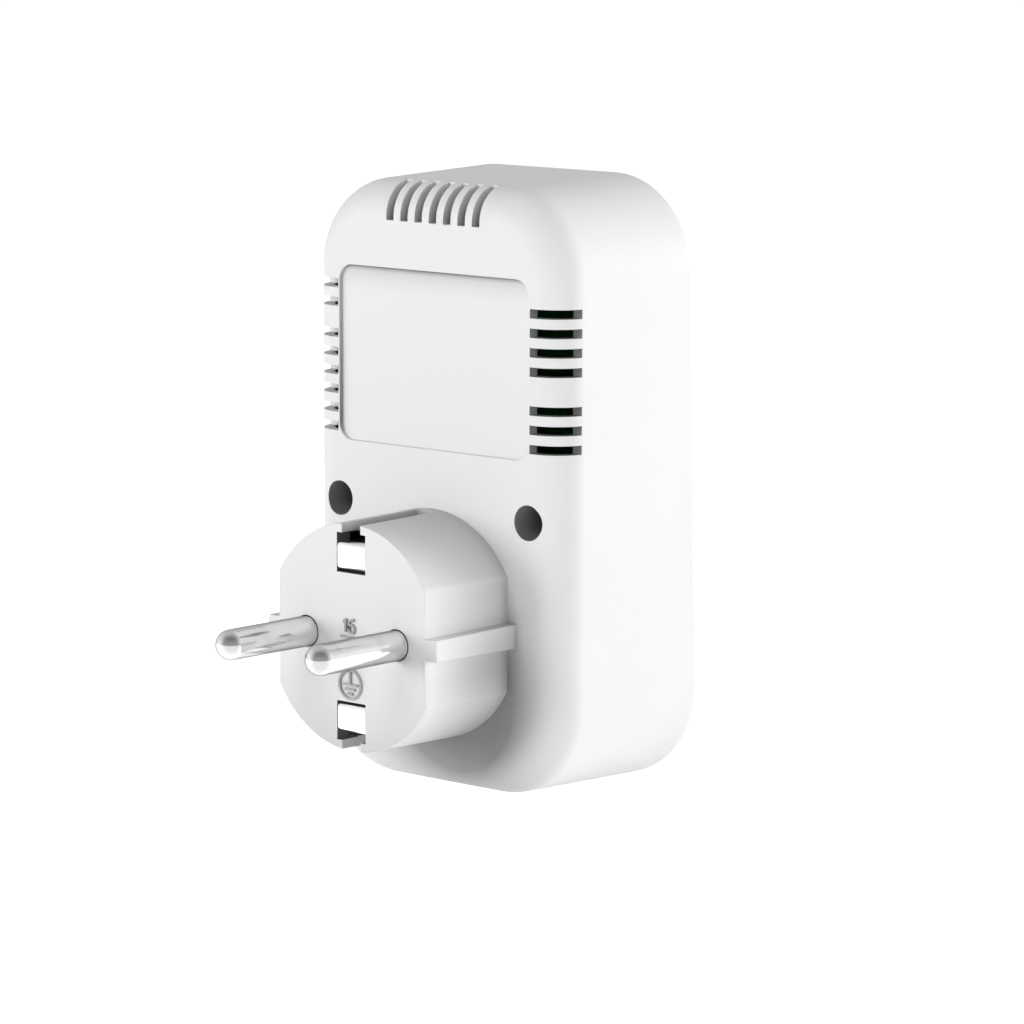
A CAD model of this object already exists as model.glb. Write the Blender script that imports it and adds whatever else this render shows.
"""Finished surfaces for the plug-in power meter, laid out as an add-on.

Lengths in this file are millimetres unless a name says otherwise; new_piece() turns them into metres.
+Y points at the wall, -Y is the front with the display, +Z is up.
"""
import math

import bmesh
import bpy
from bpy.props import FloatProperty, FloatVectorProperty, IntProperty, PointerProperty
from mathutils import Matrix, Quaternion, Vector


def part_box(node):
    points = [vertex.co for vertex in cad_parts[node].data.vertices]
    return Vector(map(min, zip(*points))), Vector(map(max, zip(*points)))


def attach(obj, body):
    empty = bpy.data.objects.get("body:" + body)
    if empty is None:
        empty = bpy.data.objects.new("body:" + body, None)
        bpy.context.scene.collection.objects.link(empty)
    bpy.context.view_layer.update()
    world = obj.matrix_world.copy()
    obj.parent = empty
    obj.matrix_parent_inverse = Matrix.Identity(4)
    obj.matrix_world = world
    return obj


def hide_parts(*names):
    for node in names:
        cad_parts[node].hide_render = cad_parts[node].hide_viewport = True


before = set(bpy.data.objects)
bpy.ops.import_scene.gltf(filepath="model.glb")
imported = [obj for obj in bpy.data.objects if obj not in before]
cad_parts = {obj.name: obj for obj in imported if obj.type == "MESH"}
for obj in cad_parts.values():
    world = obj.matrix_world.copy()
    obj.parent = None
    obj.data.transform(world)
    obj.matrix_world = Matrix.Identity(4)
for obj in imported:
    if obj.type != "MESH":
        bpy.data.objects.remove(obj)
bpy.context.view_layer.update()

bl_info = {
    "name": "Plug-in power meter",
    "version": (1, 0, 0),
    "blender": (4, 5, 0),
    "location": "View3D > Sidebar > Meter",
    "description": "Builds the finished surfaces of an earthed plug-in power meter around its frame",
    "category": "Object",
}

MM = 0.001
HOUSING = "housing"           # the body that stands still


def frame_box(node):
    """A node's lowest and highest corner in millimetres."""
    low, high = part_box(node)
    return Vector(low) / MM, Vector(high) / MM


# --- sizes read from the frame -----------------------------------------------------------------
SHELL_LOW, SHELL_HIGH = frame_box("rear_housing")
HALF_WIDTH = SHELL_HIGH.x
TOP_Z, BOTTOM_Z = SHELL_HIGH.z, SHELL_LOW.z
BACK_Y = SHELL_HIGH.y
PIN_LOW, PIN_HIGH = frame_box("live_pin")
PIN_X = (PIN_LOW.x + PIN_HIGH.x) / 2
RIM_LOW = frame_box("socket_insert")[0]
LENS_LOW, LENS_HIGH = frame_box("display_window")
PANEL_LOW, PANEL_HIGH = frame_box("display_panel")
SCREW_LOW, SCREW_HIGH = frame_box("case_screw_left")
SCREW_X = (SCREW_LOW.x + SCREW_HIGH.x) / 2
SCREW_Z = (SCREW_LOW.z + SCREW_HIGH.z) / 2

# --- sizes of the moulded parts ----------------------------------------------------------------
TOP_R, BOTTOM_R = 15.05, 16.45
BACK_FILLET, FRONT_FILLET = 5.55, 1.5
DRAFT, DRAFT_DEPTH = 0.97, 30.0
DEPTH_TOP, DEPTH_BOTTOM = 30.4, BACK_Y - SHELL_LOW.y
WALL, LEDGE, COVER = 1.8, 2.9, 2.0
SEAM = 0.12
SLOT_H, SLOT_PITCH, SLOT_FIRST_Z = 1.37, 2.98, 29.32
SLOT_IN_X, SLOT_END_Y = 20.2, -23.2
RIGHT_SLOTS = (0, 1, 2, 4, 5, 6, 7)
LEFT_SLOTS = (0, 1, 2, 3, 4, 5, 6.65, 7.65)
VENT_W, VENT_PITCH, VENT_COUNT = 1.5, 3.0, 7
VENT_BOTTOM_Z, VENT_END_Y = 62.7, -23.1
LABEL_HALF, LABEL_LOW_Z, LABEL_HIGH_Z, LABEL_R, LABEL_DEPTH = 19.9, 27.35, 55.2, 2.6, 0.6
WELL_R, WELL_FLOOR_Y, TOWER_R = 2.75, -32.4, 4.5
PLUG_R_FACE, PLUG_R_ROOT = 17.8, 18.15
FLAT_X_FACE, FLAT_X_ROOT = 15.45, 15.8
RIB_X, RIB_HALF_FACE, RIB_HALF_ROOT = 17.8, 1.65, 1.9
FACE_WALL, WINDOW_HALF, WINDOW_IN, WINDOW_OUT = 3.0, 2.97, 10.1, 16.2
GROOVE_HALF, GROOVE_END = 1.93, -16.9
PIN_R = 2.4
RECESS_R, RECESS_DEPTH, RECESS_FLAT_X = 19.5, 17.5, 16.5
RECESS_NOTCH_X, RECESS_NOTCH_HALF = 18.7, 2.4
RIM_R, CUP_R, FLOOR = 22.25, 21.1, 2.0
PIN_HOLE_R = 2.75
POST_R, POST_BORE_R = 3.3, 1.5                      # the cover's screw posts
GLASS_HALF, GLASS_LOW_Z, GLASS_HIGH_Z = 18.6, 43.2, 61.2    # the cover's opening to the display
HOLLOW_HALF, FLANGE_GROW = 13.7, 1.6                # the plug's hollow, and the flange at its root
COLLAR_R, COLLAR_DEPTH, STEM_R = 3.6, 2.0, 1.75     # a pin behind the contact face
LIP_R, LIP_FRONT_Y, LIP_BACK_Y = 23.5, -47.7, -46.4         # the outlet's lip behind the cover
STRAP_Z, STRAP_THICK, STRAP_HALF = 14.9, 0.7, 2.93  # the plug's earth strap
SPRING_HALF = 2.2                                   # the outlet's earth springs
BUTTON_Z, BUTTON_R = 31.6, 3.5
BUTTONS = ("function", "cost", "up", "down")


class MeterFinish(bpy.types.PropertyGroup):
    """Colours and surface of the visible finishes."""
    plastic: FloatVectorProperty(
        name="Housing colour", description="White of the moulded shells", subtype="COLOR",
        size=3, min=0.0, max=1.0, default=(0.74, 0.74, 0.742))
    plastic_roughness: FloatProperty(
        name="Housing roughness", description="How satin the moulded shells are",
        default=0.42, min=0.0, max=1.0, subtype="FACTOR")
    key_colour: FloatVectorProperty(
        name="Key colour", description="Colour of the rubber keys", subtype="COLOR",
        size=3, min=0.0, max=1.0, default=(0.16, 0.19, 0.23))
    board_colour: FloatVectorProperty(
        name="Board colour", description="Colour of the solder mask", subtype="COLOR",
        size=3, min=0.0, max=1.0, default=(0.006, 0.085, 0.018))
    grain_depth: FloatProperty(
        name="Grain depth", description="Depth of the mould's fine spark grain",
        default=0.000012, min=0.0, max=0.0002, unit="LENGTH", precision=6)


class MeterDetail(bpy.types.PropertyGroup):
    """How finely the shapes are made."""
    corner_steps: IntProperty(
        name="Corner steps", description="Segments in each rounded corner of the housing",
        default=20, min=4, max=48)
    fillet_steps: IntProperty(
        name="Fillet steps", description="Segments across the large fillet behind",
        default=14, min=3, max=32)
    edge_radius: FloatProperty(
        name="Edge radius", description="Rounding of the moulded edges", default=0.00009,
        min=0.0, max=0.001, unit="LENGTH", precision=5)


class MeterStage(bpy.types.PropertyGroup):
    """Camera and light."""
    left_power: FloatProperty(
        name="Left light", description="Soft light low on the wall side, from the left",
        default=9.8, min=0.0, unit="POWER")
    high_power: FloatProperty(
        name="High light", description="Soft light high on the wall side", default=4.5, min=0.0,
        unit="POWER")
    side_power: FloatProperty(
        name="Side light", description="Soft light square to the slotted side", default=6.3, min=0.0,
        unit="POWER")
    front_power: FloatProperty(
        name="Front light", description="Soft lights on the display side", default=8.5, min=0.0,
        unit="POWER")
    top_power: FloatProperty(
        name="Top light", description="Soft light high above the display side", default=4.0, min=0.0,
        unit="POWER")
    room: FloatProperty(
        name="Room", description="Brightness of the white room that polished metal mirrors",
        default=1.0, min=0.0)
    bounce: FloatProperty(
        name="Bounce", description="Light that the pale table sends up", default=0.2, min=0.0)
    lens: FloatProperty(
        name="Focal length", description="Camera lens in millimetres", default=163.2, min=10.0)
    distance: FloatProperty(
        name="Camera distance", description="From the plug's contact face to the camera",
        default=0.7146, min=0.1, unit="LENGTH")
    azimuth: FloatProperty(
        name="Azimuth", description="Camera's angle round the object from +Y towards -X",
        default=math.radians(43.607), subtype="ANGLE")
    elevation: FloatProperty(
        name="Elevation", description="Camera's angle above the plug's axis",
        default=math.radians(10.139), subtype="ANGLE")
    aim: FloatVectorProperty(
        name="Aim", description="Azimuth and elevation that the camera looks back along, and its roll",
        size=3, subtype="EULER",
        default=(math.radians(41.595), math.radians(8.583), math.radians(0.173)))


# --- mesh helpers ------------------------------------------------------------------------------
def new_piece(name, bm, finish=None):
    """Turns a bmesh in millimetres into an object in metres."""
    bmesh.ops.recalc_face_normals(bm, faces=bm.faces)
    bmesh.ops.scale(bm, vec=(MM, MM, MM), verts=bm.verts)
    mesh = bpy.data.meshes.new(name)
    bm.to_mesh(mesh)
    bm.free()
    if finish:
        mesh.materials.append(finish)
    piece = bpy.data.objects.new(name, mesh)
    bpy.context.scene.collection.objects.link(piece)
    return piece


def loft(rings, closed=False):
    """A solid through rings of equal count: capped at both ends, or joined round to the first ring."""
    bm = bmesh.new()
    loops = [[bm.verts.new(point) for point in ring] for ring in rings]
    count = len(loops[0])
    for low, high in zip(loops, loops[1:] + (loops[:1] if closed else [])):
        for i in range(count):
            j = (i + 1) % count
            bm.faces.new((low[i], low[j], high[j], high[i]))
    if not closed:
        bm.faces.new(loops[0])
        bm.faces.new(list(reversed(loops[-1])))
    bmesh.ops.recalc_face_normals(bm, faces=bm.faces)
    return bm


def gather(solids):
    """Several solids that don't touch, as one bmesh."""
    whole = bmesh.new()
    for solid in solids:
        part = bpy.data.meshes.new("part")
        solid.to_mesh(part)
        solid.free()
        whole.from_mesh(part)
        bpy.data.meshes.remove(part)
    return whole


def prism(outline, y_from, y_to):
    return loft([[(x, y, z) for x, z in outline] for y in (y_from, y_to)])


def side_prism(outline, x_from, x_to):
    return loft([[(x, y, z) for y, z in outline] for x in (x_from, x_to)])


def block(x, y, z):
    return prism([(x[0], z[0]), (x[1], z[0]), (x[1], z[1]), (x[0], z[1])], y[0], y[1])


def circle(radius, count, x=0.0, z=0.0):
    turn = [2 * math.pi * i / count for i in range(count)]
    return [(x + radius * math.cos(a), z + radius * math.sin(a)) for a in turn]


def turned(profile, count, x=0.0, z=0.0):
    """A solid of revolution about a Y axis, from (radius, y) points."""
    return loft([[(px, y, pz) for px, pz in circle(radius, count, x, z)] for radius, y in profile])


def screw_pair(radius, count, y_from, y_to):
    """A cylinder on each of the two case screws' axes."""
    return [prism(circle(radius, count, side * SCREW_X, SCREW_Z), y_from, y_to) for side in (-1, 1)]


def rounded(half, low, high, radius_low, radius_high, steps=6, x=0.0):
    """A rectangle outline about x, with its own corner radius below and above."""
    points = []
    corners = ((1, high, radius_high, 0), (-1, high, radius_high, 1),
               (-1, low, radius_low, 2), (1, low, radius_low, 3))
    for side, z, radius, quarter in corners:
        centre_x = side * (half - radius)
        centre_z = z - radius if quarter < 2 else z + radius
        for i in range(steps + 1):
            a = math.pi / 2 * (quarter + i / steps)
            points.append((x + centre_x + radius * math.cos(a), centre_z + radius * math.sin(a)))
    return points


def settle(piece):
    """Leaves the piece as its modifiers make it."""
    graph = bpy.context.evaluated_depsgraph_get()
    shaped = bpy.data.meshes.new_from_object(piece.evaluated_get(graph))
    piece.modifiers.clear()
    old, piece.data = piece.data, shaped
    bpy.data.meshes.remove(old)
    if not shaped.polygons:
        raise RuntimeError(f"{piece.name} came out empty")


def combine(piece, solids, operation, finish):
    """Cuts or joins solids that don't touch each other in one step; the new faces get the finish."""
    tool = new_piece("tool", gather(solids), finish or piece.data.materials[0])
    step = piece.modifiers.new("shape", "BOOLEAN")
    step.operation = operation
    step.solver = "EXACT"
    step.material_mode = "TRANSFER"
    step.object = tool
    settle(piece)
    bpy.data.objects.remove(tool, do_unlink=True)


def cut(piece, *solids, finish=None):
    combine(piece, solids, "DIFFERENCE", finish)


def join(piece, *solids):
    combine(piece, solids, "UNION", None)


def loop_count(edges):
    """How many closed loops the edges form."""
    left, count = set(edges), 0
    while left:
        reach = [left.pop()]
        count += 1
        while reach:
            for vertex in reach.pop().verts:
                joined = [edge for edge in vertex.link_edges if edge in left]
                left.difference_update(joined)
                reach += joined
    return count


def refill(piece):
    """Fills each flat region with holes afresh, so that no face reaches across a hole."""
    bm = bmesh.new()
    bm.from_mesh(piece.data)
    done = set()
    regions = []
    for start in bm.faces:
        if len(start.verts) < 5 or start in done:
            continue
        region, reach = {start}, [start]
        while reach:
            face = reach.pop()
            for edge in face.edges:
                for other in edge.link_faces:
                    if (other not in region and other.material_index == start.material_index
                            and other.normal.dot(start.normal) > 0.99999):
                        region.add(other)
                        reach.append(other)
        done |= region
        regions.append((region, start.normal.copy(), start.material_index))
    for region, normal, index in regions:
        edges = {edge for face in region for edge in face.edges}
        rim = [edge for edge in edges if sum(face in region for face in edge.link_faces) == 1]
        inner = [edge for edge in edges if edge not in set(rim)]
        if len(region) == 1 and not inner or loop_count(rim) == 1:
            continue
        bmesh.ops.delete(bm, geom=list(region), context="FACES_ONLY")
        bmesh.ops.delete(bm, geom=[edge for edge in inner if not edge.link_faces], context="EDGES")
        made = bmesh.ops.triangle_fill(bm, use_beauty=True, use_dissolve=False, edges=rim, normal=normal)
        for part in made["geom"]:
            if isinstance(part, bmesh.types.BMFace):
                part.material_index = index
    bmesh.ops.recalc_face_normals(bm, faces=bm.faces)
    bm.to_mesh(piece.data)
    bm.free()


def soften(piece, width=None, segments=2, angle=32.0):
    """Rounds the sharp edges by a small radius and gives the flats clean shading."""
    width = bpy.context.scene.meter_detail.edge_radius if width is None else width * MM
    bm = bmesh.new()
    bm.from_mesh(piece.data)
    bmesh.ops.remove_doubles(bm, verts=bm.verts, dist=0.000004)
    bmesh.ops.dissolve_limit(bm, angle_limit=math.radians(0.4), verts=bm.verts, edges=bm.edges,
                             delimit={"MATERIAL"})
    bm.to_mesh(piece.data)
    bm.free()
    edge = piece.modifiers.new("edge", "BEVEL")
    edge.width = width
    edge.segments = segments
    edge.limit_method = "ANGLE"
    edge.angle_limit = math.radians(angle)
    edge.use_clamp_overlap = False
    edge.miter_outer = "MITER_ARC"
    settle(piece)
    refill(piece)
    return shade(piece)


def shade(piece, angle=50.0):
    piece.data.shade_smooth()
    piece.data.set_sharp_from_angle(angle=math.radians(angle))
    normals = piece.modifiers.new("normals", "WEIGHTED_NORMAL")
    normals.mode = "FACE_AREA"
    normals.keep_sharp = True
    normals.weight = 50
    return piece


def place(piece, finish, stands_for=(), body=HOUSING):
    """Gives the piece its finish, its body and the frame nodes it stands for."""
    if piece.data.materials:
        piece.data.materials[0] = finish
    else:
        piece.data.materials.append(finish)
    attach(piece, body)
    if stands_for:
        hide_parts(*stands_for)
    return piece


def refinish(node, finish):
    """Gives a frame node that stays in view its procedural finish."""
    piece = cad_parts[node]
    if not piece.material_slots:
        piece.data.materials.append(finish)
    for holder in piece.material_slots:
        holder.material = finish


# --- shader groups ------------------------------------------------------------------------------
def wire(tree, *pairs):
    for source, target in pairs:
        tree.links.new(source, target)


def feed(tree, sockets, values):
    """Links each value that is a socket and sets each one that is a constant."""
    for socket, value in zip(sockets, values):
        if isinstance(value, bpy.types.NodeSocket):
            tree.links.new(value, socket)
        else:
            socket.default_value = value


def math_node(tree, operation, *values):
    node = tree.nodes.new("ShaderNodeMath")
    node.operation = operation
    feed(tree, node.inputs, values)
    return node.outputs[0]


def vector_node(tree, operation, *values):
    node = tree.nodes.new("ShaderNodeVectorMath")
    node.operation = operation
    feed(tree, node.inputs, values)
    return node.outputs


def noise_node(tree, vector, scale, detail=4.0, roughness=0.55):
    node = tree.nodes.new("ShaderNodeTexNoise")
    sockets = [node.inputs[name] for name in ("Detail", "Roughness", "Vector", "Scale")]
    feed(tree, sockets, (detail, roughness, vector, scale))
    return node.outputs["Fac"]


def range_node(tree, value, *limits):
    """Maps a value's two limits onto two others."""
    node = tree.nodes.new("ShaderNodeMapRange")
    sockets = [node.inputs[name] for name in ("From Min", "From Max", "To Min", "To Max", "Value")]
    feed(tree, sockets, (*limits, value))
    return node.outputs["Result"]


def mix_node(tree, factor, first, second):
    node = tree.nodes.new("ShaderNodeMix")
    node.data_type = "RGBA"
    wire(tree, (factor, node.inputs["Factor"]), (first, node.inputs["A"]), (second, node.inputs["B"]))
    return node.outputs["Result"]


def socket_kind(label, value):
    if label == "Colour" or isinstance(value, tuple) and len(value) == 4:
        return "NodeSocketColor"
    return "NodeSocketFloat" if isinstance(value, float) else "NodeSocketVector"


def start_group(name, inputs, outputs):
    """An empty group; its inputs are labels with their defaults, its outputs are labels."""
    tree = bpy.data.node_groups.new(name, "ShaderNodeTree")
    for label, value in inputs.items():
        made = tree.interface.new_socket(name=label, in_out="INPUT", socket_type=socket_kind(label, value))
        if value is not None:
            made.default_value = value
    for label in outputs:
        tree.interface.new_socket(name=label, in_out="OUTPUT", socket_type=socket_kind(label, 0.0))
    entry = tree.nodes.new("NodeGroupInput")
    leave = tree.nodes.new("NodeGroupOutput")
    return tree, entry.outputs, leave.inputs


SURFACE = ("Colour", "Roughness", "Height")
PALE = (0.8, 0.8, 0.8, 1.0)


def moulded_group():
    """Injection-moulded plastic: cloudy tone, uneven gloss and the mould's fine spark grain."""
    found = bpy.data.node_groups.get("Moulded plastic")
    if found:
        return found
    tree, given, out = start_group(
        "Moulded plastic",
        {"Vector": None, "Colour": PALE, "Roughness": 0.4, "Tone": 0.03, "Gloss spread": 0.08,
         "Grain scale": 5200.0}, SURFACE)
    cloud = noise_node(tree, given["Vector"], 38.0, 3.0)
    darker = tree.nodes.new("ShaderNodeHueSaturation")
    drop = math_node(tree, "MULTIPLY", range_node(tree, cloud, 0.35, 0.7, 1.0, 0.0), given["Tone"])
    wire(tree, (given["Colour"], darker.inputs["Color"]),
         (math_node(tree, "SUBTRACT", 1.0, drop), darker.inputs["Value"]),
         (darker.outputs["Color"], out["Colour"]))
    handling = noise_node(tree, given["Vector"], 110.0, 5.0)
    swing = math_node(tree, "MULTIPLY", math_node(tree, "SUBTRACT", handling, 0.5), given["Gloss spread"])
    wire(tree, (math_node(tree, "ADD", given["Roughness"], swing), out["Roughness"]))
    fine = noise_node(tree, given["Vector"], given["Grain scale"], 2.0, 0.6)
    broad = noise_node(tree, given["Vector"], 60.0, 1.0)
    wire(tree, (math_node(tree, "ADD", fine, math_node(tree, "MULTIPLY", broad, 2.0)), out["Height"]))
    return tree


def brushed_group():
    """Metal that was drawn, turned or stamped: fine lines along one way, and a light tarnish."""
    found = bpy.data.node_groups.get("Drawn metal")
    if found:
        return found
    tree, given, out = start_group(
        "Drawn metal",
        {"Vector": None, "Colour": (0.7, 0.7, 0.7, 1.0), "Tarnish": (0.4, 0.36, 0.3, 1.0), "Amount": 0.15,
         "Roughness": 0.2, "Stretch": (1.0, 0.03, 1.0), "Scale": 9000.0}, SURFACE)
    stretched = vector_node(tree, "MULTIPLY", given["Vector"], given["Stretch"])["Vector"]
    lines = noise_node(tree, stretched, given["Scale"], 3.0)
    patches = noise_node(tree, given["Vector"], 260.0, 4.0)
    spot = math_node(tree, "MULTIPLY", range_node(tree, patches, 0.5, 0.72, 0.0, 1.0), given["Amount"])
    wire(tree, (mix_node(tree, spot, given["Colour"], given["Tarnish"]), out["Colour"]),
         (lines, out["Height"]))
    swing = math_node(tree, "MULTIPLY", math_node(tree, "SUBTRACT", lines, 0.5), 0.16)
    spread = math_node(tree, "ADD", math_node(tree, "MULTIPLY", spot, 0.3), swing)
    wire(tree, (math_node(tree, "ADD", given["Roughness"], spread), out["Roughness"]))
    return tree


def dust_group():
    """A thin film of dust and hand grease in patches."""
    found = bpy.data.node_groups.get("Settled dust")
    if found:
        return found
    tree, given, out = start_group(
        "Settled dust",
        {"Vector": None, "Colour": PALE, "Dust": (0.55, 0.52, 0.47, 1.0), "Amount": 0.1}, ("Colour",))
    patches = noise_node(tree, given["Vector"], 180.0, 6.0, 0.7)
    specks = noise_node(tree, given["Vector"], 2600.0, 2.0)
    mask = math_node(tree, "MULTIPLY", range_node(tree, patches, 0.48, 0.75, 0.0, 1.0),
                     range_node(tree, specks, 0.4, 0.7, 0.3, 1.0))
    amount = math_node(tree, "MULTIPLY", mask, given["Amount"])
    wire(tree, (mix_node(tree, amount, given["Colour"], given["Dust"]), out["Colour"]))
    return tree


def corner_group():
    """A darker tone painted in where little light reaches, since the soft boxes alone leave it too pale.

    It strengthens towards an axis along Y and towards a depth.
    """
    found = bpy.data.node_groups.get("Corner shade")
    if found:
        return found
    tree, given, out = start_group(
        "Corner shade",
        {"Vector": None, "Colour": PALE, "Axis": (0.0, 0.0, 0.0), "Near": 0.018, "Far": 0.03,
         "Shallow": 0.0, "Deep": -0.018, "Amount": 0.2}, ("Colour",))
    offset = vector_node(tree, "SUBTRACT", given["Vector"], given["Axis"])["Vector"]
    flat = vector_node(tree, "MULTIPLY", offset, (1.0, 0.0, 1.0))["Vector"]
    reach = vector_node(tree, "LENGTH", flat)["Value"]
    split = tree.nodes.new("ShaderNodeSeparateXYZ")
    wire(tree, (given["Vector"], split.inputs["Vector"]))
    beside = range_node(tree, reach, given["Near"], given["Far"], 1.0, 0.0)
    inward = range_node(tree, split.outputs["Y"], given["Shallow"], given["Deep"], 0.0, 1.0)
    mottle = range_node(tree, noise_node(tree, given["Vector"], 90.0, 3.0), 0.3, 0.7, 0.9, 1.0)
    mask = math_node(tree, "MULTIPLY", math_node(tree, "MULTIPLY", beside, beside), inward)
    mask = math_node(tree, "MULTIPLY", math_node(tree, "MULTIPLY", mask, mottle), given["Amount"])
    keep = tree.nodes.new("ShaderNodeHueSaturation")
    wire(tree, (given["Colour"], keep.inputs["Color"]),
         (math_node(tree, "SUBTRACT", 1.0, mask), keep.inputs["Value"]),
         (keep.outputs["Color"], out["Colour"]))
    return tree


# --- materials ----------------------------------------------------------------------------------
def start_material(name):
    made = bpy.data.materials.new(name)
    made.use_nodes = True
    tree = made.node_tree
    shader = tree.nodes["Principled BSDF"]
    where = tree.nodes.new("ShaderNodeTexCoord").outputs["Object"]
    return made, tree, shader, where


def group_node(tree, group, **values):
    node = tree.nodes.new("ShaderNodeGroup")
    node.node_tree = group
    for label, value in values.items():
        node.inputs[label.replace("_", " ")].default_value = value
    return node


def place_group(tree, group, where, **values):
    node = group_node(tree, group, **values)
    wire(tree, (where, node.inputs["Vector"]))
    return node


def bump(tree, shader, height, depth):
    node = tree.nodes.new("ShaderNodeBump")
    node.inputs["Distance"].default_value = depth
    node.inputs["Strength"].default_value = 1.0
    wire(tree, (height, node.inputs["Height"]), (node.outputs["Normal"], shader.inputs["Normal"]))


def dress(tree, shader, node, colour=None):
    """Gives the shader a surface group's colour and gloss, or a colour worked on after it."""
    wire(tree, (node.outputs["Colour"] if colour is None else colour, shader.inputs["Base Color"]),
         (node.outputs["Roughness"], shader.inputs["Roughness"]))


def rgba(colour):
    return (*colour[:3], 1.0)


def plastic(name, colour, roughness, depth=None, dust=0.0, corners=(), **values):
    """A moulded plastic or rubber finish; corners holds the values of each darker corner."""
    found = bpy.data.materials.get(name)
    if found:
        return found
    made, tree, shader, where = start_material(name)
    node = place_group(tree, moulded_group(), where, Colour=rgba(colour), Roughness=roughness, **values)
    colour_out = node.outputs["Colour"]
    if dust:
        film = place_group(tree, dust_group(), where, Amount=dust)
        wire(tree, (colour_out, film.inputs["Colour"]))
        colour_out = film.outputs["Colour"]
    for corner in corners:
        shaded = place_group(tree, corner_group(), where, **corner)
        wire(tree, (colour_out, shaded.inputs["Colour"]))
        colour_out = shaded.outputs["Colour"]
    dress(tree, shader, node, colour_out)
    depth = bpy.context.scene.meter_finish.grain_depth if depth is None else depth
    bump(tree, shader, node.outputs["Height"], depth)
    shader.inputs["IOR"].default_value = 1.5
    shader.inputs["Specular IOR Level"].default_value = 0.28
    return made


def metal(name, colour, roughness, tarnish, amount, stretch, depth=0.000002, scale=9000.0, rim=1.0):
    """A drawn, turned or stamped metal finish; rim is how bright it stays at a glancing angle."""
    found = bpy.data.materials.get(name)
    if found:
        return found
    made, tree, shader, where = start_material(name)
    node = place_group(tree, brushed_group(), where, Colour=rgba(colour), Tarnish=rgba(tarnish),
                       Amount=amount, Roughness=roughness, Stretch=stretch, Scale=scale)
    dress(tree, shader, node)
    shader.inputs["Metallic"].default_value = 1.0
    shader.inputs["Specular Tint"].default_value = (rim, rim, rim, 1.0)
    bump(tree, shader, node.outputs["Height"], depth)
    return made


def housing_plastic():
    """The shells' white, with a darker tone painted in on the back below the plug."""
    finish = bpy.context.scene.meter_finish
    below_plug = {"Axis": (-0.005, 0.0, -0.011), "Near": 0.012, "Far": 0.0235, "Shallow": -0.0178,
                  "Deep": -0.0184, "Amount": 0.62}
    return plastic("Housing plastic", finish.plastic, finish.plastic_roughness, corners=[below_plug],
                   Tone=0.02)


def edge_shade(edge, across, reach, amount):
    """Values for a darker tone along a straight edge; a far axis makes the distance run straight."""
    far_off = 2.0
    axis = Vector(edge) / 1000 + Vector(across) * far_off
    return {"Axis": axis, "Near": far_off, "Far": far_off + reach / 1000, "Shallow": 1.0, "Deep": 0.9,
            "Amount": amount}


def label_plastic():
    """The label recess, with a darker tone painted in along its upper edge and its left edge."""
    finish = bpy.context.scene.meter_finish
    corners = [edge_shade((0, 0, LABEL_HIGH_Z), (0, 0, 1), reach, amount)
               for reach, amount in ((5.0, 0.3), (1.1, 0.8))]
    corners += [edge_shade((LABEL_HALF, 0, 0), (1, 0, 0), reach, amount)
                for reach, amount in ((3.0, 0.3), (1.2, 0.8))]
    return plastic("Label recess", finish.plastic, finish.plastic_roughness, corners=corners, Tone=0.02)


def vent_plastic():
    """The vents' walls, with a darker tone painted in towards their lower end."""
    corners = [edge_shade((0, 0, VENT_BOTTOM_Z), (0, 0, -1), 10.0, 0.4)]
    return plastic("Vent edge", (0.82, 0.82, 0.82), 0.6, corners=corners, Tone=0.04)


def plug_plastic():
    """The plug's white, with darker tones painted in towards its root, below a rib and low on its face."""
    finish = bpy.context.scene.meter_finish
    depth = {"Near": 0.0178, "Far": 0.0215, "Shallow": -0.001, "Deep": -0.0184, "Amount": 0.38}
    below_rib = {"Axis": (-0.018, 0.0, -0.0045), "Near": 0.0, "Far": 0.009, "Shallow": -0.002,
                 "Deep": -0.012, "Amount": 0.4}
    lower_face = {**edge_shade((0, 0, -22), (0, 0, -1), 26.0, 0.34), "Shallow": -0.0012, "Deep": -0.0004}
    return plastic("Plug plastic", finish.plastic, finish.plastic_roughness,
                   corners=[depth, below_rib, lower_face], Tone=0.02)


def shaded_plastic(name, level):
    """A darker colour for the white plastic inside a cut, where little light reaches."""
    return plastic(name, (level, level, level), 0.6, Tone=0.15, Gloss_spread=0.1)


def nickel():
    return metal("Nickel plate", (0.86, 0.86, 0.85), 0.1, (0.52, 0.51, 0.48), 0.3, (1.0, 0.04, 1.0), rim=0.25)


def bright_plate():
    return metal("Bright plate", (0.96, 0.96, 0.95), 0.1, (0.8, 0.79, 0.76), 0.1, (1.0, 0.04, 1.0))


# --- housing ------------------------------------------------------------------------------------
def front_y(z, behind=0.0):
    """The leaning front plane's y at a height, or a plane that far behind it."""
    lean = (DEPTH_BOTTOM - DEPTH_TOP) * (z - BOTTOM_Z) / (TOP_Z - BOTTOM_Z)
    return BACK_Y - DEPTH_BOTTOM + lean + behind


def shell_outline(inset):
    return rounded(HALF_WIDTH - inset, BOTTOM_Z + inset, TOP_Z - inset, max(BOTTOM_R - inset, 0.5),
                   max(TOP_R - inset, 0.5), bpy.context.scene.meter_detail.corner_steps)


def shell_ring(inset, depth):
    draft = DRAFT * (1 - depth / DRAFT_DEPTH)
    return [(x, BACK_Y - depth, z) for x, z in shell_outline(inset + draft)]


def leaning_ring(outline, behind):
    return [(x, front_y(z, behind), z) for x, z in outline]


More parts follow.
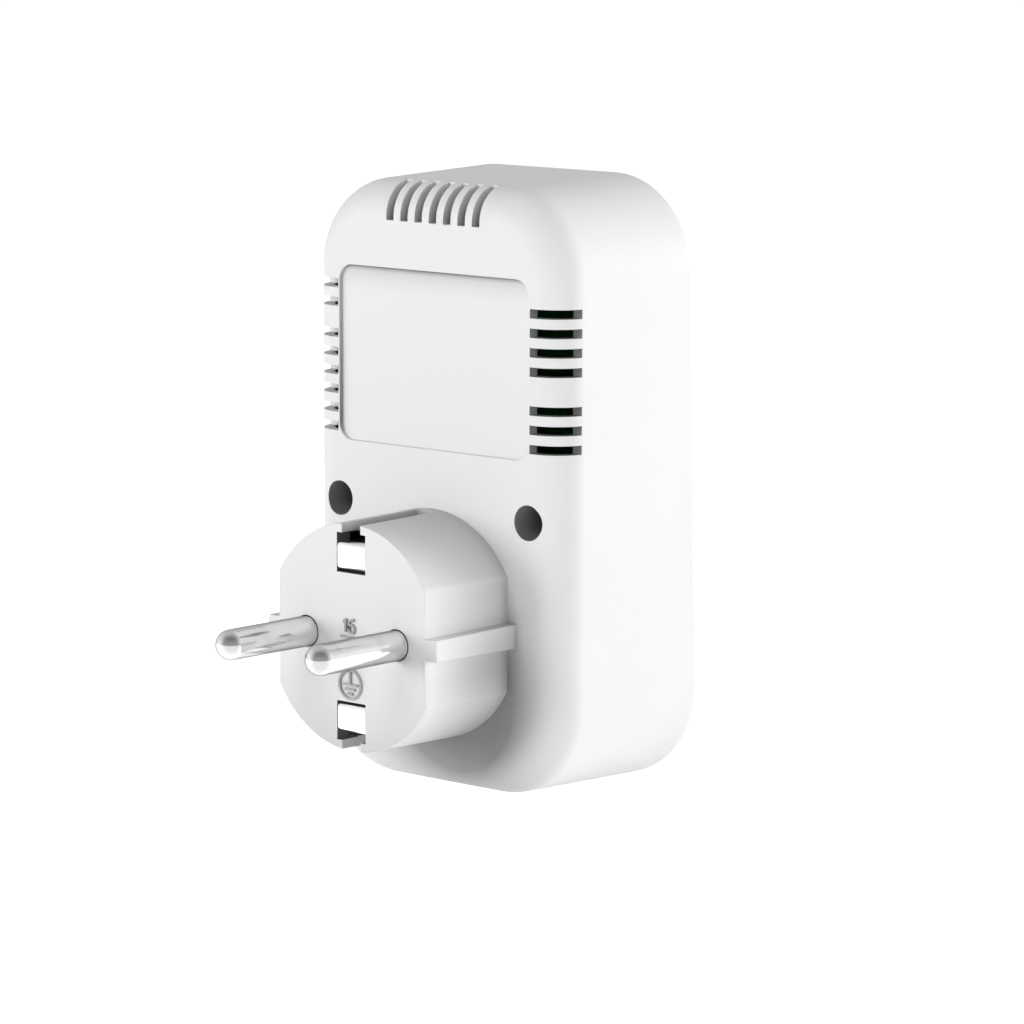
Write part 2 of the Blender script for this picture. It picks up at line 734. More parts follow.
def shell_body():
    """The outer form with its large fillet behind, hollowed out from the front."""
    steps = bpy.context.scene.meter_detail.fillet_steps
    turn = [math.pi / 2 * i / steps for i in range(steps + 1)]
    rings = [shell_ring(BACK_FILLET * (1 - math.sin(a)), BACK_FILLET * (1 - math.cos(a))) for a in turn]
    front_steps = 6
    for i in range(front_steps + 1):
        a = math.pi / 2 * i / front_steps
        rings.append(leaning_ring(shell_outline(FRONT_FILLET * (1 - math.cos(a))),
                                  FRONT_FILLET * (1 - math.sin(a))))
    shell = new_piece("rear_housing_shell", loft(rings), housing_plastic())
    inner = BACK_FILLET - WALL
    cavity = [shell_ring(WALL + inner * (1 - math.sin(a)), WALL + inner * (1 - math.cos(a)))
              for a in turn[::2]]
    cavity.append(leaning_ring(shell_outline(LEDGE), COVER + SEAM))
    cavity.append(leaning_ring(shell_outline(LEDGE), -1.0))
    cut(shell, loft(cavity), finish=shaded_plastic("Inside of the shell", 0.2))
    seat = shell_outline(WALL)
    cut(shell, loft([leaning_ring(seat, COVER + SEAM), leaning_ring(seat, -1.0)]))
    return shell


def slot_tools(side, rows):
    """Cutters for the slots over one side edge."""
    across = sorted((side * SLOT_IN_X, side * (HALF_WIDTH + 2)))
    middles = [SLOT_FIRST_Z + SLOT_PITCH * row for row in rows]
    return [block(across, (SLOT_END_Y, BACK_Y + 1), (z - SLOT_H / 2, z + SLOT_H / 2)) for z in middles]


def vent_tools():
    """Cutters for the vents over the top edge."""
    tools = []
    for i in range(VENT_COUNT):
        x = VENT_PITCH * (i - (VENT_COUNT - 1) / 2)
        tools.append(block((x - VENT_W / 2, x + VENT_W / 2), (VENT_END_Y, BACK_Y + 1),
                           (VENT_BOTTOM_Z, TOP_Z + 2)))
    return tools


class METER_OT_rear_housing(bpy.types.Operator):
    """Build the deep rear shell with its vents, label recess and screw wells"""
    bl_idname = "meter.rear_housing"
    bl_label = "Rear housing"

    def execute(self, context):
        shell = shell_body()
        inner_back = BACK_Y - WALL
        join(shell, *screw_pair(TOWER_R, 48, inner_back + 0.5, WELL_FLOOR_Y - 2))
        wells = screw_pair(WELL_R, 48, BACK_Y + 1, WELL_FLOOR_Y)
        cut(shell, *wells, finish=shaded_plastic("Screw well", 0.3))
        cut(shell, prism(plug_outline(BACK_Y, -0.3), BACK_Y + 1, inner_back - 1))
        cut(shell, *slot_tools(-1, RIGHT_SLOTS), finish=shaded_plastic("Slot edge", 0.24))
        cut(shell, *slot_tools(1, LEFT_SLOTS), finish=shaded_plastic("Clean slot edge", 0.85))
        cut(shell, *vent_tools(), finish=vent_plastic())
        label = rounded(LABEL_HALF, LABEL_LOW_Z, LABEL_HIGH_Z, LABEL_R, LABEL_R, 12)
        cut(shell, prism(label, BACK_Y + 1, BACK_Y - LABEL_DEPTH), finish=label_plastic())
        soften(shell)
        place(shell, housing_plastic(), ["rear_housing"])
        return {"FINISHED"}


def arrow(x, z, size, up):
    """A small triangle outline that points up or down."""
    tip = size if up else -size
    return [(x - size, z - tip * 0.6), (x + size, z - tip * 0.6), (x, z + tip)]


class METER_OT_front_cover(bpy.types.Operator):
    """Build the front cover with its display window, key holes and outlet opening"""
    bl_idname = "meter.front_cover"
    bl_label = "Front cover"

    def execute(self, context):
        outline = shell_outline(WALL + SEAM)
        plate = loft([leaning_ring(outline, 0), leaning_ring(outline, COVER)])
        cover = new_piece("front_cover_panel", plate, housing_plastic())
        root = front_y(SCREW_Z, COVER - 0.5)
        join(cover, *screw_pair(POST_R, 40, root, WELL_FLOOR_Y - 2.3))
        cut(cover, *screw_pair(POST_BORE_R, 24, root + 3, WELL_FLOOR_Y))
        holes = [prism(circle(RIM_R + SEAM, 128), -56, -47)]
        for name in BUTTONS:
            holes.append(prism(circle(BUTTON_R + 0.15, 48, button_x(name), BUTTON_Z), -56, -44))
        cut(cover, *holes)
        lens_half = LENS_HIGH.x + 0.1
        lens = rounded(lens_half, LENS_LOW.z - 0.1, LENS_HIGH.z + 0.1, 1.8, 1.8, 10)
        cut(cover, loft([leaning_ring(lens, -1), leaning_ring(lens, 1.2)]))
        cut(cover, prism(rounded(GLASS_HALF, GLASS_LOW_Z, GLASS_HIGH_Z, 1.0, 1.0, 8), -56, -44))
        soften(cover)
        place(cover, housing_plastic(), ["front_cover"])
        return {"FINISHED"}


# --- plug ---------------------------------------------------------------------------------------
def keyed_circle(radius, flat, reach, half, arc_steps):
    """A circle with a flat on each side, and a rib or notch of a half width out to reach in each."""
    start = math.acos(flat / radius)
    points = []
    for side in (1, -1):
        points += [(side * flat, -side * half), (side * reach, -side * half),
                   (side * reach, side * half), (side * flat, side * half)]
        for i in range(arc_steps * 2 + 1):
            a = start + (math.pi - 2 * start) * i / (arc_steps * 2)
            points.append((side * radius * math.cos(a), side * radius * math.sin(a)))
    return points


def plug_outline(y, grow=0.0):
    """The plug's outline at a depth: a circle with side flats and a guide rib on each flat."""
    k = min(max(y / BACK_Y, 0.0), 1.0)
    radius = PLUG_R_FACE + (PLUG_R_ROOT - PLUG_R_FACE) * k + grow
    flat = FLAT_X_FACE + (FLAT_X_ROOT - FLAT_X_FACE) * k + grow
    rib = RIB_HALF_FACE + (RIB_HALF_ROOT - RIB_HALF_FACE) * k + grow
    return keyed_circle(radius, flat, RIB_X + grow, rib, 26)


def stroke(points, width):
    """A closed outline of even width along an open (x, z) line."""
    left, right = [], []
    for i, (x, z) in enumerate(points):
        before, after = points[max(i - 1, 0)], points[min(i + 1, len(points) - 1)]
        run = Vector((after[0] - before[0], after[1] - before[1])).normalized()
        left.append((x - run.y * width / 2, z + run.x * width / 2))
        right.append((x + run.y * width / 2, z - run.x * width / 2))
    return left + list(reversed(right))


RELIEF = 0.4                  # how far the moulded marks stand out
MARK_ROOT_Y = -0.05           # where they start, just inside the face
MARK = 0.34                   # width of their lines


def raised(outline):
    """A moulded mark: an outline standing a little out of the contact face."""
    return prism(outline, MARK_ROOT_Y, RELIEF)


def rating_marks():
    """The current rating as plain figures seen from the wall side, with a bar below."""
    one = [(1.1, 0.9), (1.1, 2.55), (1.4, 2.3), (1.4, 2.65), (1.05, 3.0), (0.72, 3.0), (0.72, 0.9)]
    tail = stroke([(0.28, 1.5), (0.27, 2.1), (0.1, 2.6), (-0.25, 2.85), (-0.8, 2.87)], MARK)
    bar = stroke([(2.0, 0.15), (-1.4, 0.15)], 0.28)
    return [raised(outline) for outline in (one, tail, bar)] + [ring_solid(-0.32, 1.5, 0.6, MARK)]


def ring_solid(x, z, radius, width):
    """A raised ring, made of an outer and an inner wall."""
    inner, outer = radius - width / 2, radius + width / 2
    corners = ((inner, MARK_ROOT_Y), (inner, RELIEF), (outer, RELIEF), (outer, MARK_ROOT_Y))
    return loft([[(px, y, pz) for px, pz in circle(r, 40, x, z)] for r, y in corners], closed=True)


def earth_marks():
    """The standard protective-earth sign: a stem and three bars, in a ring."""
    z = -7.2
    strokes = [stroke([(0, z + 1.9), (0, z + 0.1)], MARK)]
    for half, drop in ((1.6, 0.08), (1.05, 0.8), (0.5, 1.5)):
        strokes.append(stroke([(-half, z - drop), (half, z - drop)], MARK))
    return strokes, z


class METER_OT_plug_body(bpy.types.Operator):
    """Build the round plug body with its flats, ribs, earth windows and grooves"""
    bl_idname = "meter.plug_body"
    bl_label = "Plug body"

    def execute(self, context):
        flange = BACK_Y - WALL - 0.1
        rings = [[(x, y, z) for x, z in plug_outline(y)] for y in (0.0, BACK_Y)]
        rings.append([(x, flange, z) for x, z in plug_outline(BACK_Y)])
        body = new_piece("plug_body_moulding", loft(rings), plug_plastic())
        join(body, prism(plug_outline(BACK_Y, FLANGE_GROW), flange, flange - 2))
        hollow = [(max(-HOLLOW_HALF, min(HOLLOW_HALF, x)), z) for x, z in circle(WINDOW_OUT, 96)]
        cut(body, prism(hollow, -FACE_WALL, flange - 3), finish=shaded_plastic("Inside of the plug", 0.05))
        tools = []
        for side in (-1, 1):
            tools.append(prism(circle(PIN_R + 0.07, 48, side * PIN_X), 1, -FACE_WALL - 1))
            window = sorted((side * WINDOW_IN, side * WINDOW_OUT))
            tools.append(block((-WINDOW_HALF, WINDOW_HALF), (-FACE_WALL - 0.5, 1), window))
        cut(body, *tools, finish=shaded_plastic("Window edge", 0.1))
        grooves = []
        for side in (-1, 1):
            groove = sorted((side * (WINDOW_OUT - 1), side * (PLUG_R_ROOT + 1)))
            grooves.append(block((-GROOVE_HALF, GROOVE_HALF), (GROOVE_END, 1), groove))
        cut(body, *grooves, finish=shaded_plastic("Groove", 0.58))
        soften(body, 0.12)
        place(body, plug_plastic(), ["plug_body"])
        self.marks()
        return {"FINISHED"}

    def marks(self):
        """The moulded marks on the contact face."""
        solids = rating_marks()
        strokes, z = earth_marks()
        solids += [raised(outline) for outline in strokes] + [ring_solid(0, z, 2.25, MARK)]
        marks = new_piece("plug_face_marks", gather(solids))
        shade(marks, 30)
        place(marks, plastic("Relief", (0.4, 0.4, 0.4), 0.5, Tone=0.05))


class METER_OT_pins(bpy.types.Operator):
    """Turn the two plated pins with their round tips and inner collars"""
    bl_idname = "meter.pins"
    bl_label = "Pins"

    def execute(self, context):
        length = PIN_HIGH.y
        for name, side in (("live_pin", 1), ("neutral_pin", -1)):
            tip_turn = [math.radians(86 - 86 * i / 14) for i in range(15)]
            tip = [(PIN_R * math.cos(a), length - PIN_R + PIN_R * math.sin(a)) for a in tip_turn]
            collar = -FACE_WALL - 0.1
            root, edge = collar - COLLAR_DEPTH, COLLAR_R - 0.2
            shank = [(PIN_R, collar), (edge, collar), (COLLAR_R, collar - 0.2), (COLLAR_R, root + 0.2),
                     (edge, root), (STEM_R, root), (STEM_R, PIN_LOW.y + 0.3), (STEM_R - 0.3, PIN_LOW.y)]
            pin = new_piece(f"{name}_turned", turned(tip + shank, 64, side * PIN_X))
            place(shade(pin, 35), nickel(), [name])
        return {"FINISHED"}


def strip_path(points, thickness, bend=0.9, steps=5):
    """A (y, z) outline of a bent strip of even thickness, with rounded bends."""
    line = [Vector(points[0])]
    for before, corner, after in zip(points, points[1:], points[2:]):
        corner = Vector(corner)
        back = (Vector(before) - corner)
        ahead = (Vector(after) - corner)
        reach = min(bend, back.length * 0.45, ahead.length * 0.45)
        start, end = corner + back.normalized() * reach, corner + ahead.normalized() * reach
        for i in range(steps + 1):
            t = i / steps
            line.append(start * (1 - t) ** 2 + corner * 2 * t * (1 - t) + end * t ** 2)
    line.append(Vector(points[-1]))
    far = []
    for i, point in enumerate(line):
        before, after = line[max(i - 1, 0)], line[min(i + 1, len(line) - 1)]
        run = (after - before).normalized()
        far.append((point.x - run.y * thickness, point.y + run.x * thickness))
    return [tuple(point) for point in line] + list(reversed(far))


class METER_OT_earth_strap(bpy.types.Operator):
    """Bend the plug's earth strap with a contact bow in each window"""
    bl_idname = "meter.earth_strap"
    bl_label = "Plug earth strap"

    def execute(self, context):
        half = [(-4.6, 10.35), (-0.08, 10.35), (-0.08, STRAP_Z), (-6.0, STRAP_Z), (-15.5, STRAP_Z)]
        path = [(y, -z) for y, z in reversed(half)] + half
        strip = side_prism(strip_path(path, STRAP_THICK), -STRAP_HALF, STRAP_HALF)
        strap = new_piece("plug_earth_bow", strip)
        soften(strap, 0.05, 1, 40)
        place(strap, bright_plate(), ["plug_earth_strap"])
        return {"FINISHED"}


# --- outlet -------------------------------------------------------------------------------------
class METER_OT_outlet(bpy.types.Operator):
    """Build the outlet's well and its two sprung earth contacts"""
    bl_idname = "meter.outlet"
    bl_label = "Outlet"

    def execute(self, context):
        rim_y = RIM_LOW.y
        floor_y = rim_y + RECESS_DEPTH
        back = floor_y + FLOOR
        round_over = [(RIM_R - 0.6 + 0.6 * math.sin(a), rim_y + 0.6 * (1 - math.cos(a)))
                      for a in (math.pi / 2 * i / 5 for i in range(6))]
        profile = round_over + [(RIM_R, LIP_FRONT_Y), (LIP_R, LIP_FRONT_Y), (LIP_R, LIP_BACK_Y),
                                (CUP_R, LIP_BACK_Y), (CUP_R, back)]
        finish = plastic("Outlet plastic", (0.72, 0.72, 0.72), 0.33, Tone=0.02, Gloss_spread=0.06)
        cup = new_piece("outlet_well", turned(profile, 128), finish)
        recess = keyed_circle(RECESS_R, RECESS_FLAT_X, RECESS_NOTCH_X, RECESS_NOTCH_HALF, 24)
        cut(cup, prism(recess, rim_y - 1, floor_y))
        tools = []
        for side in (-1, 1):
            tools.append(prism(circle(PIN_HOLE_R, 48, side * PIN_X), floor_y - 1, back + 1))
            tools.append(block((-2.6, 2.6), (floor_y - 1, back + 1), sorted((side * 15.2, side * 19.0))))
            tools.append(prism(circle(3.7, 32, side * SCREW_X, SCREW_Z), -48, -46))
        cut(cup, *tools)
        soften(cup, 0.25, 3)
        place(cup, finish, ["socket_insert"])
        half = [(-27.2, 17.6), (-36.6, 17.6), (-41.5, 15.9), (-46.0, 17.9)]
        path = [(y, -z) for y, z in reversed(half)] + half
        strip = side_prism(strip_path(path, -STRAP_THICK, 2.2), -SPRING_HALF, SPRING_HALF)
        bracket = new_piece("outlet_earth_springs", strip)
        soften(bracket, 0.12, 2, 40)
        place(bracket, bright_plate(), ["socket_earth_bracket"])
        return {"FINISHED"}


# --- display and keys ---------------------------------------------------------------------------
def button_x(name):
    low, high = frame_box(f"button_{name}")
    return (low.x + high.x) / 2


SEGMENTS = {                  # which of the seven segments a figure lights
    "0": "abcdef", "1": "bc", "2": "abged", "3": "abgcd", "4": "fgbc", "5": "afgcd",
    "6": "afgedc", "7": "abc", "8": "abcdefg", "9": "abcdfg",
}


def segment_bars(x, z, width, height, thick):
    """The seven bars of one figure, by letter, as (x, z) outlines seen from the front."""
    half = height / 2
    lean = 0.08
    places = {
        "a": ((0, height), (width, height)), "g": ((0, half), (width, half)), "d": ((0, 0), (width, 0)),
        "f": ((0, half), (0, height)), "b": ((width, half), (width, height)),
        "e": ((0, 0), (0, half)), "c": ((width, 0), (width, half)),
    }
    bars = {}
    for letter, (start, end) in places.items():
        a, b = Vector(start), Vector(end)
        run = (b - a).normalized()
        side = Vector((-run.y, run.x)) * thick / 2
        a, b = a + run * thick * 0.62, b - run * thick * 0.62
        tip = run * thick / 2
        ring = (a - tip, a + side, b + side, b + tip, b - side, a - side)
        bars[letter] = [(x + p.x + lean * p.y, z + p.y) for p in ring]
    return bars


def display_bars(text, x, z, width, height, thick, gap):
    """Splits a row of figures into lit and unlit bar outlines."""
    lit, unlit = [], []
    for character in text:
        if character == ".":
            spot = x - gap + thick * 0.5
            lit.append([(spot, z - thick / 2), (spot + thick, z - thick / 2),
                        (spot + thick, z + thick / 2), (spot, z + thick / 2)])
            continue
        for letter, outline in segment_bars(x, z, width, height, thick).items():
            (lit if letter in SEGMENTS.get(character, "") else unlit).append(outline)
        x += width + gap
    return lit, unlit


class METER_OT_display(bpy.types.Operator):
    """Build the display's segments, its panel finish and the clear window"""
    bl_idname = "meter.display"
    bl_label = "Display"

    def execute(self, context):
        face = PANEL_LOW.y
        rows = (display_bars("230.4", -12.0, 50.9, 4.2, 7.6, 0.95, 2.5),
                display_bars("50.0", -14.6, 45.3, 1.9, 3.2, 0.45, 1.15),
                display_bars("0.00", 4.4, 45.3, 1.9, 3.2, 0.45, 1.15))
        lit = [outline for row in rows for outline in row[0]]
        unlit = [outline for row in rows for outline in row[1]]
        lit.append(rounded(0.2, 45.0, 48.8, 0.1, 0.1, 2, 0.0))
        for name, outlines, colour in (("display_lit", lit, (0.025, 0.03, 0.028)),
                                       ("display_unlit", unlit, (0.36, 0.41, 0.34))):
            bars = new_piece(name, gather([prism(outline, face - 0.05, face - 0.01) for outline in outlines]))
            shade(bars, 30)
            place(bars, plastic(f"Segments {name[8:]}", colour, 0.35, 0.0))
        refinish("display_panel", plastic("Display glass", (0.43, 0.48, 0.40), 0.16, 0.0, Tone=0.05))
        lens = shade(self.lens(), 40)
        place(lens, clear_sheet(), ["display_window"])
        mask = rounded(LENS_HIGH.x - 0.05, LENS_LOW.z + 0.05, LENS_HIGH.z - 0.05, 1.6, 1.6, 10)
        window = rounded(PANEL_HIGH.x - 1.9, PANEL_LOW.z + 1.1, PANEL_HIGH.z - 1.1, 0.9, 0.9, 10)
        border = new_piece("window_border", self.border(mask, window))
        shade(border, 30)
        place(border, plastic("Window print", (0.09, 0.10, 0.115), 0.25, 0.0, Tone=0.04))
        return {"FINISHED"}

    def lens(self):
        outline = rounded(LENS_HIGH.x, LENS_LOW.z, LENS_HIGH.z, 1.7, 1.7, 10)
        small = rounded(LENS_HIGH.x - 0.15, LENS_LOW.z + 0.15, LENS_HIGH.z - 0.15, 1.55, 1.55, 10)
        rings = [leaning_ring(small, 0.05), leaning_ring(outline, 0.2), leaning_ring(outline, 0.95)]
        return new_piece("display_lens", loft(rings))

    def border(self, outer, inner):
        """The dark frame printed on the window's back, as a very thin plate with a hole."""
        corners = ((outer, 1.0), (inner, 1.0), (inner, 1.06), (outer, 1.06))
        return loft([leaning_ring(ring, behind) for ring, behind in corners], closed=True)


def clear_sheet():
    """Clear plastic that shows the display and mirrors the room at a glancing angle."""
    made, tree, shader, where = start_material("Clear window")
    node = place_group(tree, moulded_group(), where, Colour=(0.03, 0.032, 0.035, 1.0), Roughness=0.05,
                       Tone=0.02, Gloss_spread=0.03)
    dress(tree, shader, node)
    tilt = tree.nodes.new("ShaderNodeLayerWeight").outputs["Facing"]
    glance = math_node(tree, "POWER", tilt, 4.0)
    wire(tree, (range_node(tree, glance, 0.0, 1.0, 0.05, 0.8), shader.inputs["Alpha"]))
    return made


class METER_OT_keys(bpy.types.Operator):
    """Mould the four rubber keys, each with a raised sign"""
    bl_idname = "meter.keys"
    bl_label = "Keys"

    def execute(self, context):
        finish = plastic("Key rubber", context.scene.meter_finish.key_colour, 0.55, 0.00001, 0.12, Tone=0.05)
        light = plastic("Key sign", (0.75, 0.76, 0.77), 0.5, 0.0, Tone=0.03)
        for name in BUTTONS:
            low, high = frame_box(f"button_{name}")
            x = button_x(name)
            crown = [(BUTTON_R * math.sin(a), low.y + 0.1 + 0.8 * (1 - math.cos(a)) ** 1.3)
                     for a in (math.radians(8 + 82 * i / 14) for i in range(15))]
            flange = high.y - 0.8
            skirt = [(BUTTON_R, flange), (BUTTON_R + 1.2, flange), (BUTTON_R + 1.2, high.y)]
            key = new_piece(f"key_{name}", turned(crown + skirt, 64, x, BUTTON_Z))
            shade(key, 40)
            place(key, finish, [f"button_{name}"], f"button_{name}")
            outlines = {
                "function": [stroke([(x - 1.0, BUTTON_Z + d), (x + 1.0, BUTTON_Z + d)], 0.36)
                             for d in (-0.75, 0.0, 0.75)],
                "cost": [circle(0.75, 24, x, BUTTON_Z)],
                "up": [arrow(x, BUTTON_Z, 1.0, True)],
                "down": [arrow(x, BUTTON_Z, 1.0, False)],
            }[name]
            sign = new_piece(f"key_sign_{name}",
                             gather([prism(o, low.y + 0.35, low.y) for o in outlines]))
            shade(sign, 30)
            place(sign, light, body=f"button_{name}")
        return {"FINISHED"}


# --- inside -------------------------------------------------------------------------------------
def board_finish():
    """Solder mask over laminate, with copper tracks that show through as paler lines."""
    made, tree, shader, where = start_material("Solder mask")
    colour = rgba(bpy.context.scene.meter_finish.board_colour)
    node = place_group(tree, moulded_group(), where, Colour=colour, Roughness=0.35, Tone=0.2,
                       Grain_scale=900.0)
    tracks = tree.nodes.new("ShaderNodeTexBrick")
    for label, value in (("Scale", 260.0), ("Mortar Size", 0.012), ("Mortar Smooth", 0.2),
                         ("Brick Width", 0.9), ("Row Height", 0.35)):
        tracks.inputs[label].default_value = value
    turn = tree.nodes.new("ShaderNodeMapping")
    turn.inputs["Rotation"].default_value = (math.pi / 2, 0.0, 0.0)
    copper = tree.nodes.new("ShaderNodeRGB")
    copper.outputs[0].default_value = (0.02, 0.19, 0.05, 1.0)
    wire(tree, (where, turn.inputs["Vector"]), (turn.outputs["Vector"], tracks.inputs["Vector"]),
         (mix_node(tree, tracks.outputs["Fac"], node.outputs["Colour"], copper.outputs[0]),
          shader.inputs["Base Color"]),
         (node.outputs["Roughness"], shader.inputs["Roughness"]))
    bump(tree, shader, tracks.outputs["Fac"], 0.00003)
    return made


class METER_OT_inner_parts(bpy.types.Operator):
    """Give every inner piece its own finish"""
    bl_idname = "meter.inner_parts"
    bl_label = "Inner parts"

    def execute(self, context):
        along_y, along_z = (1.0, 0.04, 1.0), (1.0, 1.0, 0.04)
        brass = metal("Stamped brass", (0.78, 0.58, 0.27), 0.26, (0.42, 0.26, 0.12), 0.5, along_y, scale=5000)
        steel = metal("Zinc plate", (0.62, 0.63, 0.65), 0.3, (0.45, 0.42, 0.33), 0.35, along_y)
        carrier = plastic("Carrier plastic", (0.20, 0.21, 0.23), 0.5, Tone=0.1)
        board = board_finish()
        epoxy = plastic("Chip epoxy", (0.025, 0.025, 0.028), 0.45, 0.00003, Tone=0.2, Grain_scale=3000.0)
        finishes = {
            "shunt": metal("Manganin", (0.48, 0.34, 0.25), 0.34, (0.3, 0.2, 0.15), 0.5, along_z),
            "shutter_spring": steel, "backup_cell": steel, "crystal": nickel(),
            "socket_shutter": carrier, "shutter_cover": carrier, "cell_holder": carrier,
            "main_board": board, "display_board": board,
            "metering_chip": epoxy, "microcontroller": epoxy, "board_header": epoxy,
            "display_frame": plastic("Frame plastic", (0.72, 0.72, 0.71), 0.45, Tone=0.05),
            "elastomer_strip": plastic("Zebra silicone", (0.10, 0.10, 0.11), 0.6, 0.00002, Tone=0.4),
            "film_capacitor": plastic("Potted box", (0.72, 0.47, 0.03), 0.35, Tone=0.08),
            "supply_capacitor": plastic("Shrink sleeve", (0.03, 0.05, 0.13), 0.28, Tone=0.15),
            "varistor": plastic("Dipped coating", (0.03, 0.12, 0.36), 0.4, 0.00004, Tone=0.15,
                                Grain_scale=1500.0),
            "fuse": plastic("Fuse ceramic", (0.78, 0.76, 0.70), 0.4, Tone=0.06),
        }
        for name in ("live_contact", "neutral_contact", "neutral_link", "live_link", "output_link",
                     "earth_link"):
            finishes[name] = brass
        finishes["smoothing_capacitor"] = finishes["supply_capacitor"]
        for name in BUTTONS:
            finishes[f"switch_{name}"] = steel
            finishes[f"switch_plunger_{name}"] = epoxy
        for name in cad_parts:
            if "screw" in name:
                finishes[name] = steel
        for name, finish in finishes.items():
            refinish(name, finish)
        return {"FINISHED"}


# --- stage --------------------------------------------------------------------------------------
def aimed(azimuth, elevation):
    """The direction from the object towards the camera."""
    return Vector((-math.sin(azimuth) * math.cos(elevation), math.cos(azimuth) * math.cos(elevation),
                   math.sin(elevation)))


LIGHT_SIZE, LIGHT_DISTANCE = 0.55, 1.2        # metres
LIGHT_AIM = Vector((0.0, -0.03, 0.02))        # metres, near the object's middle
FILL_SHARE, FAR_SIDE_SHARE = 0.45, 0.35       # of the side and front light's power


def soft_light(name, power, azimuth, elevation):
    """A square soft box that faces the object and stays out of its reflections."""
    data = bpy.data.lights.new(name, "AREA")
    data.shape = "SQUARE"
    data.size = LIGHT_SIZE
    data.energy = power
    light = bpy.data.objects.new(name, data)
    towards = aimed(math.radians(azimuth), math.radians(elevation))
    light.location = LIGHT_AIM + towards * LIGHT_DISTANCE
    light.rotation_mode = "QUATERNION"
    light.rotation_quaternion = (-towards).to_track_quat("-Z", "Y")
    light.visible_glossy = False
    bpy.context.scene.collection.objects.link(light)


def room_group(stage):
    """How bright the studio looks in a mirror: darker where the camera stands and overhead."""
    found = bpy.data.node_groups.get("Studio room")
    if found:
        return found
    tree, given, out = start_group(
        "Studio room", {"Direction": None, "Brightness": 1.0}, ("Value",))
    level = vector_node(tree, "NORMALIZE", given["Direction"])["Vector"]
    facing = vector_node(tree, "DOT_PRODUCT", level, aimed(stage.azimuth, stage.elevation))["Value"]
    split = tree.nodes.new("ShaderNodeSeparateXYZ")
    wire(tree, (level, split.inputs["Vector"]))
    dark_side = range_node(tree, facing, 0.05, 0.65, 1.0, 0.36)
    ceiling = range_node(tree, split.outputs["Z"], 0.25, 0.8, 1.0, 0.55)
    shown = math_node(tree, "MULTIPLY", dark_side, ceiling)
    wire(tree, (math_node(tree, "MULTIPLY", shown, given["Brightness"]), out["Value"]))
    return tree


def room_light(tree, where, stage):
    """How strongly the studio shows: white to the camera, by direction in polished metal."""
    ray = tree.nodes.new("ShaderNodeLightPath")
    room = group_node(tree, room_group(stage), Brightness=stage.room)
    wire(tree, (where, room.inputs["Direction"]))
    mirrored = math_node(tree, "MULTIPLY", room.outputs["Value"], ray.outputs["Is Glossy Ray"])
    return math_node(tree, "MAXIMUM", ray.outputs["Is Camera Ray"], mirrored)


def surroundings(stage):
    """A white room that shows behind the object and in polished metal; the soft boxes light it."""
    world = bpy.data.worlds.new("Studio")
    world.use_nodes = True
    tree = world.node_tree
    where = tree.nodes.new("ShaderNodeTexCoord").outputs["Generated"]
    wire(tree, (room_light(tree, where, stage), tree.nodes["Background"].inputs["Strength"]))
    tree.nodes["Background"].inputs["Color"].default_value = (1.0, 1.0, 1.0, 1.0)
    bpy.context.scene.world = world


def floor_finish(stage):
    """A pale table that reads as white and passes light on to the object from below."""
    made, tree, shader, where = start_material("Pale table")
    node = place_group(tree, moulded_group(), where, Colour=(0.8, 0.8, 0.8, 1.0), Roughness=0.9, Tone=0.01)
    shown = math_node(tree, "MAXIMUM", room_light(tree, where, stage), stage.bounce)
    glow = tree.nodes.new("ShaderNodeCombineColor")
    wire(tree, (node.outputs["Colour"], shader.inputs["Base Color"]),
         (shown, glow.inputs["Red"]), (shown, glow.inputs["Green"]), (shown, glow.inputs["Blue"]),
         (glow.outputs["Color"], shader.inputs["Emission Color"]))
    shader.inputs["Roughness"].default_value = 0.9
    shader.inputs["Specular IOR Level"].default_value = 0.0
    shader.inputs["Emission Strength"].default_value = 1.0
    return made


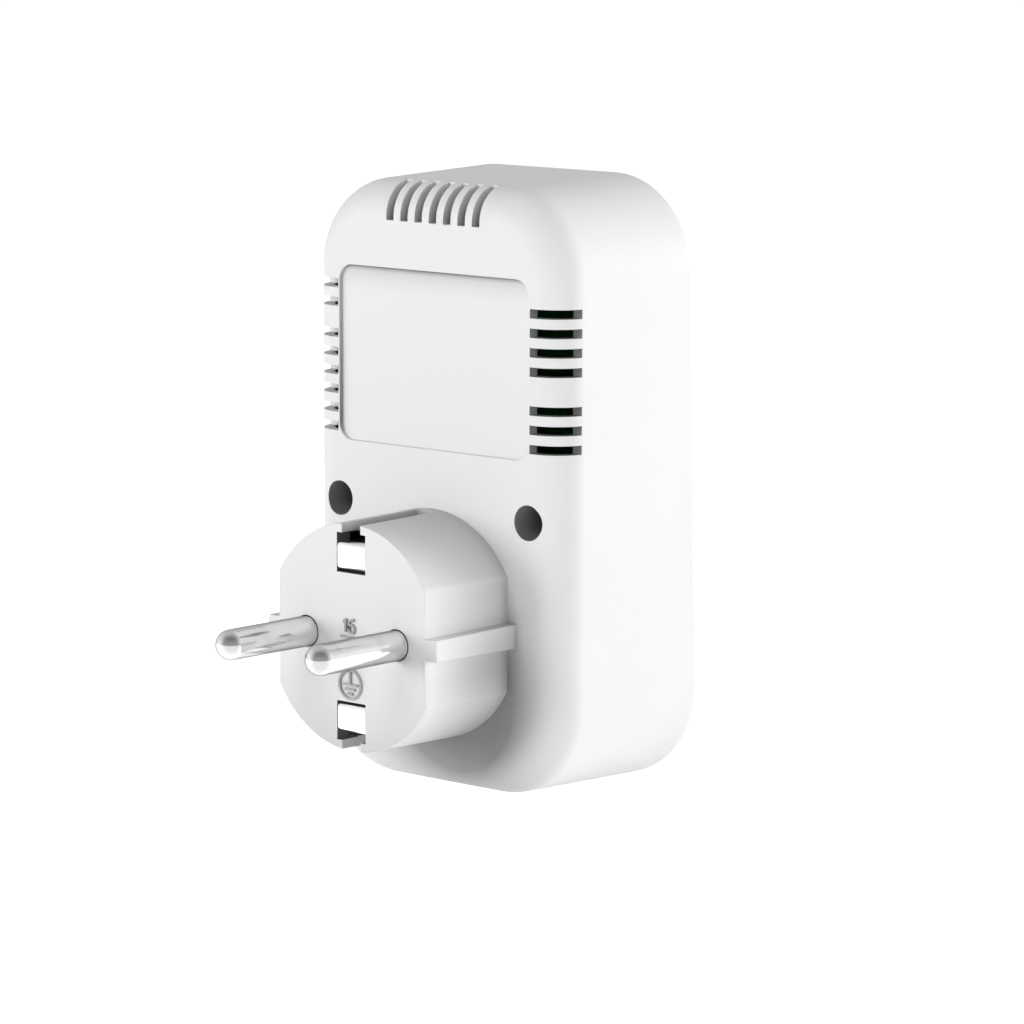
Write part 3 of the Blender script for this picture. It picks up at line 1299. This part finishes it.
class METER_OT_stage(bpy.types.Operator):
    """Set up the pale floor, the soft light and the camera"""
    bl_idname = "meter.stage"
    bl_label = "Stage"

    def execute(self, context):
        stage = context.scene.meter_stage
        bm = bmesh.new()
        bmesh.ops.create_grid(bm, x_segments=8, y_segments=8, size=8000)
        bmesh.ops.translate(bm, verts=bm.verts, vec=(0, 0, BOTTOM_Z - 0.05))
        floor = new_piece("floor", bm)
        floor.data.materials.append(floor_finish(stage))
        surroundings(stage)
        for name, power, azimuth, elevation in (
                ("left", stage.left_power, -30, 6), ("high", stage.high_power, -5, 32),
                ("fill", stage.side_power * FILL_SHARE, 58, 2), ("side", stage.side_power, 95, 6),
                ("far_side", stage.front_power * FAR_SIDE_SHARE, 120, 6),
                ("front", stage.front_power, 150, 6), ("top", stage.top_power, 150, 60)):
            soft_light(f"{name}_light", power, azimuth, elevation)
        camera = bpy.data.objects.new("camera", bpy.data.cameras.new("camera"))
        camera.data.sensor_width = 36.0
        camera.data.lens = stage.lens
        camera.location = aimed(stage.azimuth, stage.elevation) * stage.distance
        look = -aimed(stage.aim[0], stage.aim[1])
        camera.rotation_mode = "QUATERNION"
        roll = Quaternion((0.0, 0.0, 1.0), stage.aim[2])
        camera.rotation_quaternion = look.to_track_quat("-Z", "Y") @ roll
        camera.data.clip_start, camera.data.clip_end = 0.01, 60.0
        context.scene.collection.objects.link(camera)
        context.scene.camera = camera
        context.scene.view_settings.view_transform = "Standard"
        return {"FINISHED"}


STEPS = (METER_OT_rear_housing, METER_OT_front_cover, METER_OT_plug_body, METER_OT_pins,
         METER_OT_earth_strap, METER_OT_outlet, METER_OT_display, METER_OT_keys,
         METER_OT_inner_parts, METER_OT_stage)


class METER_PT_panel(bpy.types.Panel):
    """Lists the meter's settings and the step that makes each piece"""
    bl_idname = "METER_PT_panel"
    bl_label = "Power meter"
    bl_space_type = "VIEW_3D"
    bl_region_type = "UI"
    bl_category = "Meter"

    def draw(self, context):
        for group in (context.scene.meter_finish, context.scene.meter_detail, context.scene.meter_stage):
            box = self.layout.box()
            for name in group.__annotations__:
                box.prop(group, name)
        for step in STEPS:
            self.layout.operator(step.bl_idname)


GROUPS = {"meter_finish": MeterFinish, "meter_detail": MeterDetail, "meter_stage": MeterStage}


def register():
    for name, group in GROUPS.items():
        bpy.utils.register_class(group)
        setattr(bpy.types.Scene, name, PointerProperty(type=group))
    for step in (*STEPS, METER_PT_panel):
        bpy.utils.register_class(step)


def unregister():
    for step in reversed((*STEPS, METER_PT_panel)):
        bpy.utils.unregister_class(step)
    for name, group in GROUPS.items():
        delattr(bpy.types.Scene, name)
        bpy.utils.unregister_class(group)


def main():
    register()
    for step in STEPS:
        operator = getattr(bpy.ops.meter, step.bl_idname.split(".")[1])
        operator()


if __name__ == "__main__":
    main()
